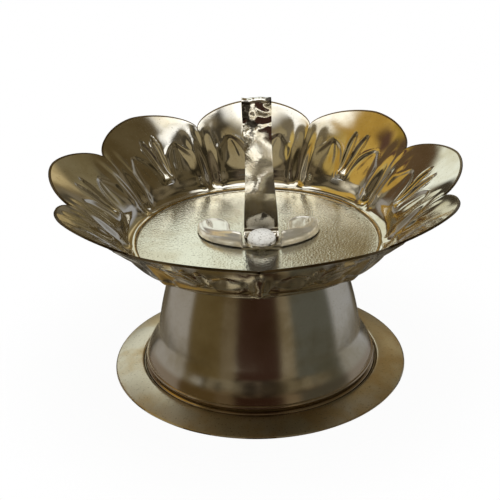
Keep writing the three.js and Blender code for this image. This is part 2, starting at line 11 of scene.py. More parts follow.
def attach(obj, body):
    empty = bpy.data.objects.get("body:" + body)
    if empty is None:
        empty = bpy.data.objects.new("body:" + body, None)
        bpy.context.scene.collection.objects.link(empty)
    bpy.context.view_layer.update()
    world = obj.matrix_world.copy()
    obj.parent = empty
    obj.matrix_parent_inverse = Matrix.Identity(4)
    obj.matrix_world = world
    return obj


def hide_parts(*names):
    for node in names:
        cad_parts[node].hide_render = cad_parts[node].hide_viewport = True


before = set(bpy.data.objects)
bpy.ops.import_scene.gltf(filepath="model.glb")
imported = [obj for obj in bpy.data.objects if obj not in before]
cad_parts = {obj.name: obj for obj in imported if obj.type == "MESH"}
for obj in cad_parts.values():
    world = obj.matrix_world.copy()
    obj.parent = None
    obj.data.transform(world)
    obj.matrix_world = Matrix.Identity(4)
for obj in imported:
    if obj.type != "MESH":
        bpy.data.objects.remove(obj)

log = logging.getLogger("diya_lamp")

Point2 = tuple[float, float]
Point3 = tuple[float, float, float]
Colour = tuple[float, float, float, float]
Part = bpy.types.Object
Socket = bpy.types.NodeSocket

MM = 0.001
FULL_TURN = 2 * math.pi
SEAM = 0.002 * MM
RIVET_X, RIVET_Y = 1.0, -3.4
FACETS = 224
WHITE: Colour = (1.0, 1.0, 1.0, 1.0)


# small helpers


def linear(hex_colour: str, strength: float = 1.0) -> Colour:
    """Turns an sRGB hex colour to the linear colour that the shaders take.

    Args:
        hex_colour: A # and six hex digits.
        strength: Factor on red, green and blue.

    Returns:
        Red, green, blue and an alpha of 1, all linear.
    """
    channels = [int(hex_colour[i:i + 2], 16) / 255 for i in (1, 3, 5)]
    red, green, blue = (strength * (c / 12.92 if c <= 0.04045 else ((c + 0.055) / 1.055) ** 2.4)
                        for c in channels)
    return (red, green, blue, 1.0)


def mix(a: float, b: float, share: float) -> float:
    """Returns the value that lies the given share of the way from a to b."""
    return a + (b - a) * share


def ramp(x: float, low: float, high: float) -> float:
    """Returns 0 below low, 1 above high and an even slope between."""
    return min(1.0, max(0.0, (x - low) / (high - low)))


def smoothstep(x: float, low: float, high: float) -> float:
    """Returns 0 below low, 1 above high and a soft step between."""
    share = ramp(x, low, high)
    return share * share * (3 - 2 * share)


def welt(x: float, middle: float, width: float) -> float:
    """Returns 1 in the middle of a soft welt and nearly 0 two widths away."""
    return math.exp(-((x - middle) / width) ** 2)


def rounded(x: float) -> float:
    """Returns the height of a quarter circle, from 0 at x = 0 to 1 at x = 1 and beyond."""
    return math.sqrt(1 - (1 - min(1.0, x)) ** 2)


def arc(centre: Point2, radius: float, start: float, end: float, steps: int,
        tall: Optional[float] = None) -> list[Point2]:
    """Gives the points of an arc, with both ends.

    Args:
        centre: Radius and height of the arc's centre.
        radius: The arc's own radius.
        start: First angle in degrees.
        end: Last angle in degrees.
        steps: Number of stretches between the points.
        tall: Radius upwards, where it differs.

    Returns:
        Points as (radius, height).
    """
    tall = radius if tall is None else tall
    angles = [math.radians(mix(start, end, i / steps)) for i in range(steps + 1)]
    return [(centre[0] + radius * math.cos(a), centre[1] + tall * math.sin(a)) for a in angles]


class Graph:
    """A node tree, and short calls for the nodes that finishes and studio use often."""

    def __init__(self, owner: Any, coordinates: str = "Object") -> None:
        """Empties the node tree and keeps the coordinates that its patterns follow.

        Args:
            owner: The material or world that has the tree.
            coordinates: Output of the texture coordinate node.
        """
        owner.use_nodes = True
        self.tree = owner.node_tree
        self.tree.nodes.clear()
        self.place = self.add_node("ShaderNodeTexCoord").outputs[coordinates]

    def add_node(self, kind: str, inputs: Optional[dict[Any, Any]] = None,
                 **settings: Any) -> bpy.types.Node:
        """Adds a shader node with its settings, values and links.

        Args:
            kind: Blender's name of the node type.
            inputs: Socket name or index to a value, or to the output socket that feeds it.
            **settings: Properties of the node.

        Returns:
            The new node.
        """
        node = self.tree.nodes.new(kind)
        for name, value in settings.items():
            setattr(node, name, value)
        for name, value in (inputs or {}).items():
            if isinstance(value, Socket):
                self.tree.links.new(value, node.inputs[name])
            else:
                node.inputs[name].default_value = value
        return node

    def maths(self, operation: str, *values: Any) -> Socket:
        """Gives the result of an operation on numbers and sockets."""
        return self.add_node("ShaderNodeMath", dict(enumerate(values)),
                             operation=operation).outputs[0]

    def height(self) -> Socket:
        """Gives the upright part of the coordinates."""
        return self.add_node("ShaderNodeSeparateXYZ", {0: self.place}).outputs["Z"]

    def length(self, arrow: Socket) -> Socket:
        """Gives the length of a vector."""
        return self.add_node("ShaderNodeVectorMath", {0: arrow},
                             operation="LENGTH").outputs["Value"]

    def pattern(self, size_mm: float, detail: float, roughness: float = 0.5) -> Socket:
        """Gives a cloudy pattern of 0 to 1 with shapes of the given size."""
        return self.add_node("ShaderNodeTexNoise", {
            "Vector": self.place, "Scale": 1 / MM / size_mm, "Detail": detail,
            "Roughness": roughness}, noise_dimensions="3D").outputs["Fac"]

    def fade(self, value: Socket, start: float, end: float, low: float = 0.0,
             high: float = 1.0, soft: bool = True) -> Socket:
        """Turns a value between start and end to one between low and high.

        Args:
            value: The value.
            start: Where the result is low.
            end: Where the result is high.
            low: First result.
            high: Last result.
            soft: A soft step between them, else an even slope.

        Returns:
            The result.
        """
        return self.add_node("ShaderNodeMapRange", {
            "Value": value, "From Min": start, "From Max": end, "To Min": low, "To Max": high},
            interpolation_type="SMOOTHSTEP" if soft else "LINEAR").outputs["Result"]

    def blend(self, share: Socket, under: Any, over: Any) -> Socket:
        """Lays one colour over another by a share."""
        return self.add_node("ShaderNodeMix", {"Factor": share, 6: under, 7: over},
                             data_type="RGBA").outputs[2]

    def bump(self, height: Socket, depth_mm: float, normal: Optional[Socket] = None) -> Socket:
        """Presses a pattern of the given depth into the surface, over an earlier one."""
        inputs = {"Strength": 1.0, "Distance": depth_mm * MM, "Height": height}
        if normal is not None:
            inputs["Normal"] = normal
        return self.add_node("ShaderNodeBump", inputs).outputs["Normal"]

    def metal(self, colour: Socket, roughness: Any, normal: Socket, metallic: float) -> None:
        """Ends the tree in a metal's surface."""
        shader = self.add_node("ShaderNodeBsdfPrincipled", {
            "Base Color": colour, "Metallic": metallic, "Roughness": roughness, "Normal": normal})
        self.add_node("ShaderNodeOutputMaterial", {"Surface": shader.outputs["BSDF"]})

    def either(self, share: Socket, first: bpy.types.Node,
               second: bpy.types.Node) -> bpy.types.Node:
        """Mixes two shaders by a share."""
        return self.add_node("ShaderNodeMixShader", {
            0: share, 1: first.outputs[0], 2: second.outputs[0]})


# finishes


class Working(Enum):
    """How the metal's surface was made, which gives the direction of its marks."""

    PRESSED = "pressed"
    SPUN_UPRIGHT = "spun, marks run round an upright wall"
    SPUN_FLAT = "spun, marks run round a flat flange"
    HAMMERED = "hammered by hand"


@dataclass(frozen=True)
class Plating:
    """Nickel plating over brass sheet, or tin or solder, as this lamp's pieces wear it.

    The plating is pale and a little yellow. Polished places mirror the room, while the press, the
    lathe or the hammer leave grain, rings or dents under the gloss. All sizes are in millimetres.
    """

    name: str
    working: Working
    tint: str = "#DCD6C6"
    dull_tint: str = "#C3B89D"
    roughness: float = 0.14
    dull_roughness: float = 0.24
    cloud_mm: float = 14.0
    grain_mm: float = 0.45
    grain_depth_mm: float = 0.010
    wave_mm: float = 9.0
    wave_depth_mm: float = 0.06
    ring_mm: float = 0.35
    ring_depth_mm: float = 0.004
    fleck_share: float = 0.04
    fleck_tint: str = "#7B7058"
    fleck_strength: float = 0.45
    soot_from_mm: Optional[float] = None
    soot_climb_mm: float = 11.0
    soot_blotch_mm: float = 4.5
    soot_tint: str = "#2B241B"
    soot_cover: float = 0.92
    soot_gain: float = 0.16
    soot_roughness: float = 0.3
    # painted shade: a darker, browner band low on the piece, from one height up to a wavy edge,
    # standing in for shade and the dark things it mirrors
    painted_shade_from_mm: Optional[float] = None
    painted_shade_to_mm: float = 0.0
    painted_shade_start_mm: float = 1.5
    painted_shade_fade_mm: float = 10.0
    painted_shade_wave: float = 1.4
    painted_shade_tint: str = "#BDB6A6"
    metallic: float = 1.0

    # where the noise patterns' clouds, flecks and soot begin and where they are full
    CLOUD_EDGE = (0.42, 0.68)
    FLECK_EDGE = (0.66, 0.74)
    SOOT_EDGE = (0.64, 0.70)

    def material(self) -> bpy.types.Material:
        """Builds the plating's node material.

        Returns:
            The material, which reads object coordinates only.
        """
        made = bpy.data.materials.new(self.name)
        graph = Graph(made)
        # clouds of thinner polish, where the plating looks warmer and less bright
        clouds = graph.pattern(self.cloud_mm, detail=4.0, roughness=0.55)
        cloud = graph.fade(clouds, *self.CLOUD_EDGE)
        # fine flecks, where the grain of the press shows through the gloss
        grain = graph.pattern(self.grain_mm, detail=2.0, roughness=0.6)
        low, high = self.FLECK_EDGE
        fleck = graph.fade(grain, low - self.fleck_share, high, high=self.fleck_strength,
                           soft=False)
        colour = graph.blend(cloud, linear(self.tint), linear(self.dull_tint))
        colour = graph.blend(fleck, colour, linear(self.fleck_tint))
        rough = graph.fade(graph.maths("ADD", cloud, fleck), 0.0, 1.0, self.roughness,
                           self.dull_roughness, soft=False)
        # painted shade: low on the piece the colour turns darker and browner
        if self.painted_shade_from_mm is not None:
            colour = graph.blend(self._painted_shade(graph, clouds), colour, linear(self.painted_shade_tint))
        if self.soot_from_mm is not None:
            soot = self._soot(graph)
            colour = graph.blend(soot, colour, linear(self.soot_tint))
            rough = graph.maths("MULTIPLY_ADD", soot, self.soot_roughness, rough)
        waves = graph.pattern(self.wave_mm, detail=1.0, roughness=0.4)
        normal = graph.bump(waves, self.wave_depth_mm)
        normal = graph.bump(grain, self.grain_depth_mm, normal)
        across = self._across(graph)
        if across is not None:
            rings = graph.add_node("ShaderNodeTexNoise", {
                "W": across, "Scale": 1 / MM / self.ring_mm, "Detail": 3.0, "Roughness": 0.7},
                noise_dimensions="1D")
            normal = graph.bump(rings.outputs["Fac"], self.ring_depth_mm, normal)
        graph.metal(colour, rough, normal, self.metallic)
        return made

    def _painted_shade(self, graph: Graph, clouds: Socket) -> Socket:
        """Gives the share of painted shade, a darker, browner band that stands in for shade and
        dark reflections low on the piece, from one height up to a wavy, faded edge.
        """
        height, start, fade = graph.height(), self.painted_shade_from_mm, self.painted_shade_fade_mm
        wavy = graph.maths("MULTIPLY_ADD", clouds, self.painted_shade_wave * fade * MM, height)
        edge = self.painted_shade_to_mm + self.painted_shade_wave / 2 * fade
        below = graph.fade(wavy, (edge + fade / 2) * MM, (edge - fade / 2) * MM)
        above = graph.fade(height, start * MM, (start + self.painted_shade_start_mm) * MM, soft=False)
        return graph.maths("MULTIPLY", below, above)

    def _soot(self, graph: Graph) -> Socket:
        """Gives the share of soot, in blotches that thicken towards the wick's end."""
        start = self.soot_from_mm
        climb = graph.fade(graph.height(), start * MM, (start + self.soot_climb_mm) * MM,
                           high=self.soot_gain, soft=False)
        blotches = graph.pattern(self.soot_blotch_mm, detail=3.0, roughness=0.6)
        total = graph.maths("ADD", blotches, climb)
        return graph.fade(total, *self.SOOT_EDGE, high=self.soot_cover)

    def _across(self, graph: Graph) -> Optional[Socket]:
        """Gives the coordinate that runs across the turning marks.

        Args:
            graph: Node tree of the material.

        Returns:
            Height on an upright wall, distance from the axis on a flange, or None.
        """
        if self.working is Working.SPUN_UPRIGHT:
            return graph.height()
        if self.working is Working.SPUN_FLAT:
            level = graph.add_node("ShaderNodeVectorMath", {
                0: graph.place, 1: (1.0, 1.0, 0.0)}, operation="MULTIPLY")
            return graph.length(level.outputs["Vector"])
        return None


@dataclass(frozen=True)
class CutEdge:
    """Sheared brass edge of the pressed sheet, thinly plated: brown, warm and rougher."""

    name: str = "sheared_brass_edge"
    tint: str = "#857352"
    shade: str = "#57492F"
    roughness: float = 0.34
    burr_mm: float = 0.6
    burr_depth_mm: float = 0.03

    def material(self) -> bpy.types.Material:
        """Builds the edge's node material."""
        made = bpy.data.materials.new(self.name)
        graph = Graph(made)
        burr = graph.pattern(self.burr_mm, detail=3.0)
        colour = graph.blend(burr, linear(self.tint), linear(self.shade))
        graph.metal(colour, self.roughness, graph.bump(burr, self.burr_depth_mm), 1.0)
        return made


BOWL_PLATING = Plating(
    "pressed_nickel_plate", Working.PRESSED, tint="#E9E5D9", dull_tint="#CFC5AC",
    roughness=0.05, dull_roughness=0.10, wave_mm=7.0, wave_depth_mm=0.09, grain_depth_mm=0.002)
FLOOR_PLATING = Plating(
    "stippled_nickel_plate", Working.PRESSED, tint="#E6E4D4", dull_tint="#D6CFB9",
    roughness=0.08, dull_roughness=0.13, metallic=0.95, grain_mm=0.55, grain_depth_mm=0.05,
    wave_mm=12.0, wave_depth_mm=0.05, fleck_share=0.09, fleck_strength=0.6)
# the cup's foot and lip, up to the sweep, carry painted shade in a browner tint
PEDESTAL_PLATING = Plating(
    "spun_nickel_plate", Working.SPUN_UPRIGHT, roughness=0.15, dull_roughness=0.20,
    grain_mm=0.4, grain_depth_mm=0.006, wave_mm=16.0, wave_depth_mm=0.05, ring_depth_mm=0.006,
    painted_shade_from_mm=-2.0, painted_shade_to_mm=6.2, painted_shade_fade_mm=1.6, painted_shade_tint="#B9A88F")
BASE_PLATING = Plating(
    "worn_nickel_plate", Working.SPUN_FLAT, tint="#D9D1BF", dull_tint="#CFBA93",
    roughness=0.30, dull_roughness=0.38, cloud_mm=11.0, grain_depth_mm=0.014,
    wave_depth_mm=0.08, fleck_share=0.07, fleck_strength=0.6)
# the strap's lower post, just above the tab, carries painted shade; soot blotches gather towards
# the wick's end
STRAP_PLATING = Plating(
    "hammered_nickel_plate", Working.HAMMERED, tint="#F6F4EE", dull_tint="#E0DACB",
    roughness=0.07, dull_roughness=0.13, wave_mm=4.0, wave_depth_mm=0.10, cloud_mm=6.0,
    soot_from_mm=55.0, painted_shade_from_mm=34.9, painted_shade_to_mm=43.0)
# the head is a matt near-white with no metallic share: painted sheen standing in for the bright
# sky that the tinned dome mirrors
RIVET_PLATING = Plating(
    "tinned_rivet_head_painted_sheen", Working.HAMMERED, tint="#FFFEF8", dull_tint="#FBF9F0",
    roughness=0.3, dull_roughness=0.4, metallic=0.0, wave_mm=1.8, wave_depth_mm=0.25,
    fleck_share=0.12, fleck_strength=0.8)
SCROLL_PLATING = Plating(
    "tinned_scroll_plate", Working.PRESSED, tint="#EFECE0", dull_tint="#DCD5C0",
    roughness=0.12, dull_roughness=0.18, metallic=0.66, grain_mm=0.6, grain_depth_mm=0.03,
    wave_mm=3.0, wave_depth_mm=0.1)
BEAD_PLATING = Plating(
    "worn_bead_brass", Working.PRESSED, tint="#D3B67C", dull_tint="#B08C50",
    roughness=0.12, dull_roughness=0.2)
SOLDER_PLATING = Plating(
    "plated_soft_solder", Working.PRESSED, tint="#B4AC9B", dull_tint="#8C8370",
    roughness=0.28, dull_roughness=0.36, wave_mm=2.6, wave_depth_mm=0.2)


# modelling by operators


class Bench:
    """Operator steps that the pieces share: drawing a line, spinning it, sweeping it."""

    @staticmethod
    def leave() -> None:
        """Goes back to object mode."""
        bpy.ops.object.mode_set(mode="OBJECT")

    @classmethod
    def clear(cls) -> None:
        """Leaves edit mode and selects nothing."""
        if bpy.context.object and bpy.context.object.mode != "OBJECT":
            cls.leave()
        bpy.ops.object.select_all(action="DESELECT")

    @classmethod
    def take(cls, *objects: Part) -> None:
        """Selects only the given objects and makes the last one active."""
        cls.clear()
        for item in objects:
            item.select_set(True)
        bpy.context.view_layer.objects.active = objects[-1]

    @classmethod
    def edit(cls, piece: Part) -> None:
        """Takes a piece to edit mode with all its points selected."""
        cls.take(piece)
        bpy.ops.object.mode_set(mode="EDIT")
        bpy.ops.mesh.select_all(action="SELECT")

    @classmethod
    def grid(cls, columns: int, rows: int, place: Callable[[Vector], Vector]) -> Part:
        """Presses a grid of -1 to 1 each way into the shape that the function gives."""
        cls.clear()
        bpy.ops.mesh.primitive_grid_add(x_subdivisions=columns, y_subdivisions=rows, size=2 * MM)
        pressed = bpy.context.object
        cls.move_points(pressed, place)
        return pressed

    @classmethod
    def line(cls, name: str, points: Sequence[Point3]) -> Part:
        """Draws a line of edges, starting from a small plane merged to one point.

        Args:
            name: Name of the new object.
            points: Points of the line in millimetres.

        Returns:
            The object, in edit mode, with its last point selected.
        """
        cls.clear()
        bpy.ops.mesh.primitive_plane_add(size=MM, location=Vector(points[0]) * MM)
        drawn = bpy.context.object
        drawn.name = drawn.data.name = name
        bpy.ops.object.transform_apply(location=True, rotation=True, scale=True)
        cls.edit(drawn)
        bpy.ops.mesh.merge(type="CENTER")
        for here, there in zip(points, points[1:]):
            step = (Vector(there) - Vector(here)) * MM
            bpy.ops.mesh.extrude_region_move(TRANSFORM_OT_translate={"value": step})
        return drawn

    @staticmethod
    def outward() -> None:
        """Turns the faces of the piece being edited outward."""
        bpy.ops.mesh.normals_make_consistent(inside=False)

    @staticmethod
    def turn(steps: int) -> None:
        """Spins the drawn line a full turn about the upright axis and closes the seam."""
        bpy.ops.mesh.select_all(action="SELECT")
        bpy.ops.mesh.spin(steps=steps, angle=FULL_TURN, center=(0, 0, 0), axis=(0, 0, 1))
        bpy.ops.mesh.select_all(action="SELECT")
        bpy.ops.mesh.remove_doubles(threshold=SEAM)

    @classmethod
    def spun(cls, name: str, outline: Sequence[Point2], steps: int = 192) -> Part:
        """Spins an outline of (radius, height) to a closed piece.

        Args:
            name: Name of the new object.
            outline: Points that end on the axis at both ends, or meet themselves.
            steps: Facets round the piece.

        Returns:
            The finished object, in object mode.
        """
        drawn = cls.line(name, [(radius, 0.0, height) for radius, height in outline])
        cls.turn(steps)
        cls.outward()
        cls.leave()
        return drawn

    @classmethod
    def modify(cls, piece: Part, kind: str, **settings: Any) -> None:
        """Adds a modifier with its settings and applies it."""
        cls.take(piece)
        bpy.ops.object.modifier_add(type=kind)
        added = piece.modifiers[-1]
        for name, value in settings.items():
            setattr(added, name, value)
        bpy.ops.object.modifier_apply(modifier=added.name)

    @classmethod
    def smooth(cls, piece: Part, degrees: float) -> None:
        """Shades a piece smooth except across edges sharper than the given angle."""
        cls.take(piece)
        bpy.ops.object.shade_smooth_by_angle(angle=math.radians(degrees))

    @staticmethod
    def move_points(piece: Part, place: Callable[[Vector], Vector]) -> None:
        """Moves each point of a mesh to where the function puts it, both in millimetres."""
        for vertex in piece.data.vertices:
            vertex.co = place(vertex.co / MM) * MM
        piece.data.update()

    @classmethod
    def join(cls, name: str, pieces: Iterable[Part]) -> Part:
        """Joins objects to one and names it."""
        cls.take(*pieces)
        bpy.ops.object.join()
        joined = bpy.context.object
        joined.name = joined.data.name = name
        return joined


def mount(piece: Part, node: str, slot: str, *finishes: bpy.types.Material) -> None:
    """Puts a finished piece in its CAD node's place, with its materials.

    Args:
        piece: The finished mesh.
        node: CAD node that the piece stands for.
        slot: The record's material slot; it is not used.
        *finishes: Materials in the order of the mesh's material numbers.
    """
    for finish in finishes:
        piece.data.materials.append(finish)
    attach(piece, "root")
    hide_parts(node)
    log.info("%s: %d faces", piece.name, len(piece.data.polygons))


# base and pedestal


@dataclass
class BasePlate:
    """Pressed saucer: thin outer edge, domed flange, rounded ridge and a sunk seat."""

    radius: float = 36.0
    sheet: float = 0.6
    edge_droop: float = 0.35
    edge_round: float = 0.12
    flange_steps: int = 22
    flange_dome: float = 1.5
    ridge_height: float = 1.75
    ridge_round: float = 0.4
    recess_wall: float = 28.95
    waver_length: float = 11.0
    waver_trim: float = 0.004
    waver_dip: float = 0.06

    def build(self) -> Part:
        """Spins the plate and lets its edge waver as the real one does.

        Returns:
            The plate's object.
        """
        ridge = self.recess_wall + self.ridge_round
        rim = self.radius - self.edge_round
        shares = [i / self.flange_steps for i in range(self.flange_steps + 1)]
        flange = [(mix(rim, ridge, s),
                   mix(self.edge_droop, self.ridge_height, 1 - (1 - s) ** self.flange_dome))
                  for s in shares]
        corner_height = self.ridge_height - self.ridge_round
        corner = arc((ridge, corner_height), self.ridge_round, 90, 180, 8)[1:]
        foot = arc((self.recess_wall - self.ridge_round, self.sheet + self.ridge_round),
                   self.ridge_round, 0, -90, 6)
        inner = self.recess_wall + self.sheet
        under = [(max(r, inner + self.ridge_round), max(h - self.sheet, 0.0))
                 for r, h in flange[1:-1]]
        under = [p for i, p in enumerate(under) if i == 0 or p != under[i - 1]]
        outline = [(0.0, 0.0), (inner - self.ridge_round, 0.0), (inner, self.ridge_round),
                   (inner, corner_height - self.sheet), *reversed(under), (rim, 0.0),
                   (self.radius, self.edge_droop / 2), *flange, *corner, *foot, (0.0, self.sheet)]
        plate = Bench.spun("worn_base_plate", outline, FACETS)
        Bench.move_points(plate, self._waver)
        Bench.smooth(plate, 42)
        return plate

    def _waver(self, point: Vector) -> Vector:
        """Trims a hair off the outer edge and dips the flange, unevenly round the plate."""
        radius = math.hypot(point.x, point.y)
        if radius < self.recess_wall + 1:
            return point
        way = noise.noise(Vector((point.x, point.y, 0)) / self.waver_length)
        outward = smoothstep(radius, self.recess_wall + 1, self.radius)
        trim = 1 - self.waver_trim * outward * (0.5 + 0.5 * way)
        dip = abs(point.z * self.waver_dip * way * outward)
        return Vector((point.x * trim, point.y * trim, max(0.0, point.z - dip)))

    def dress(self, plate: Part) -> None:
        """Gives the plate its worn plating, and its outer edge the sheared brass."""
        for face in plate.data.polygons:
            out = math.hypot(face.center.x, face.center.y) / MM
            face.material_index = 1 if out > self.radius - self.edge_round * 1.05 else 0
        mount(plate, "base_plate", "satin_plate", BASE_PLATING.material(), CutEdge().material())


@dataclass
class Pedestal:
    """Spun hollow cup, upside down: beaded foot, rolled lip, tapering wall, closed top."""

    sheet: float = 0.8
    foot_height: float = 0.9
    foot_radius: float = 27.9
    bead: float = 0.45
    bead_height: float = 0.8
    lip_height: float = 3.4
    lip_bulge: float = 0.4
    lip_round: float = 0.55
    body_foot: Point2 = (25.1, 7.1)
    body_top_radius: float = 19.3
    body_bulge: float = 0.85
    body_steps: int = 26
    sweep_start: float = 0.14
    sweep_steps: int = 14
    sweep_lift: float = 0.15
    sweep_inset: float = 0.05
    top_height: float = 32.2
    top_round: float = 1.4

    def wall_height(self) -> float:
        """Gives the height of the tapering wall."""
        return self.top_height - self.top_round - self.body_foot[1]

    def wall_point(self, share: float) -> Point2:
        """Gives radius and height on the bowed, tapering wall, or on its line run on below."""
        bow = self.body_bulge * 4 * share * (1 - share) if share > 0 else 3 * share
        return (mix(self.body_foot[0], self.body_top_radius, share) + bow,
                self.body_foot[1] + self.wall_height() * share)

    def outline(self) -> list[Point2]:
        """Gives the outer line from the foot to the edge of the top."""
        bead_radius = self.foot_radius + self.bead
        bead_middle = self.foot_height + self.bead_height / 2
        bead = arc((bead_radius - self.bead_height / 2, bead_middle), self.bead_height / 2,
                   -80, 62, 8)
        lip_centre = (self.foot_radius + self.lip_bulge - self.lip_round,
                      self.lip_height - self.lip_round / 2)
        rim = [*bead, (self.foot_radius, self.foot_height + self.bead_height + 0.1),
               (self.foot_radius, lip_centre[1] - self.lip_round),
               *arc(lip_centre, self.lip_round, -25, 78, 9)]
        # below the sweep's start the wall swings out to the lip in a soft S
        lip_radius, lip_top = rim[-1]
        start = self.sweep_start
        fall = (lip_top + self.sweep_lift - self.wall_point(start)[1]) / self.wall_height()
        swing = lip_radius - self.sweep_inset - self.wall_point(start + fall)[0]
        sweep = []
        for i in range(self.sweep_steps):
            share = i / self.sweep_steps
            radius, level = self.wall_point(start + fall * (1 - share))
            sweep.append((radius + swing * (1 - smoothstep(share, 0.0, 1.0)), level))
        wall = [self.wall_point(mix(start, 1.0, i / self.body_steps))
                for i in range(self.body_steps + 1)]
        corner = arc((self.body_top_radius - self.top_round, self.top_height - self.top_round),
                     self.top_round, 20, 90, 8)
        return [*rim, *sweep, *wall, *corner]

    def build(self) -> Part:
        """Spins the cup and its inner wall as one closed shell."""
        outer = self.outline()
        under = self.top_height - self.sheet
        inner = [(self.foot_radius - self.sheet, self.foot_height),
                 (self.foot_radius - self.sheet, self.lip_height - self.sheet)]
        inner += [(r - self.sheet, min(h, under)) for r, h in outer if h > self.body_foot[1]][::3]
        closed = [(0.0, under), *reversed(inner), *outer, (0.0, self.top_height)]
        cup = Bench.spun("spun_pedestal", closed, FACETS)
        Bench.smooth(cup, 34)
        return cup

    def dress(self, cup: Part) -> None:
        """Gives the cup its spun plating."""
        mount(cup, "pedestal", "bright_plate", PEDESTAL_PLATING.material())


@dataclass
class SolderRuns:
    """Soft solder: an uneven fillet under the bowl and a thin run in the base's groove."""

    neck_radius: float = 19.3
    neck_foot: Point2 = (25.1, 7.1)
    shoulder: float = 30.8
    ceiling: float = 32.2
    gap: float = 0.3
    drop: float = 4.2
    reach: float = 2.4
    edge: float = 0.35
    clearance: float = 0.25
    lump_size: float = 2.6
    fine_lump_size: float = 1.2
    lump_swell: float = 0.012
    groove: Point2 = (28.4, 28.9)
    groove_floor: float = 0.9
    crown: float = 0.55

    def build(self) -> tuple[Part, Part]:
        """Builds the fillet and the run."""
        return self._fillet(), self._run()

    def _fillet(self) -> Part:
        """Spins the hollow-cheeked fillet and makes its surface lumpy."""
        inside = self.neck_radius + self.gap
        slope = (self.neck_foot[0] - self.neck_radius) / (self.shoulder - self.neck_foot[1])
        lowest = self.ceiling - self.drop
        low_inside = inside + (self.shoulder - lowest) * slope + self.clearance
        hollow = arc((low_inside + self.edge + self.reach, lowest), self.reach, 180, 90, 12,
                     self.drop)
        outline = [(low_inside, lowest), *hollow, (inside, self.ceiling),
                   (inside, self.shoulder), (low_inside, lowest)]
        fillet = Bench.spun("lumpy_solder_fillet", outline, FACETS)

        def lump(point: Vector) -> Vector:
            radius = math.hypot(point.x, point.y)
            if radius < low_inside + 0.05 or point.z > self.ceiling - 0.2:
                return point
            way = (noise.noise(point / self.lump_size)
                   + 0.5 * noise.noise(point / self.fine_lump_size))
            swell = 1 + self.lump_swell * way
            return Vector((point.x * swell, point.y * swell, point.z))

        Bench.move_points(fillet, lump)
        Bench.smooth(fillet, 50)
        return fillet

    def _run(self) -> Part:
        """Spins the thin run of solder in the groove."""
        inner, outer = self.groove
        crown = arc(((inner + outer) / 2, self.groove_floor), (outer - inner) / 2, 0, 180, 8,
                    self.crown)
        run = Bench.spun("groove_solder_run", [*crown, crown[0]])
        Bench.smooth(run, 60)
        return run

    def dress(self, runs: tuple[Part, Part]) -> None:
        """Gives both runs the look of plated solder."""
        solder = SOLDER_PLATING.material()
        for run, node in zip(runs, ("bowl_solder_ring", "base_solder_ring")):
            mount(run, node, "solder", solder)


# petal bowl


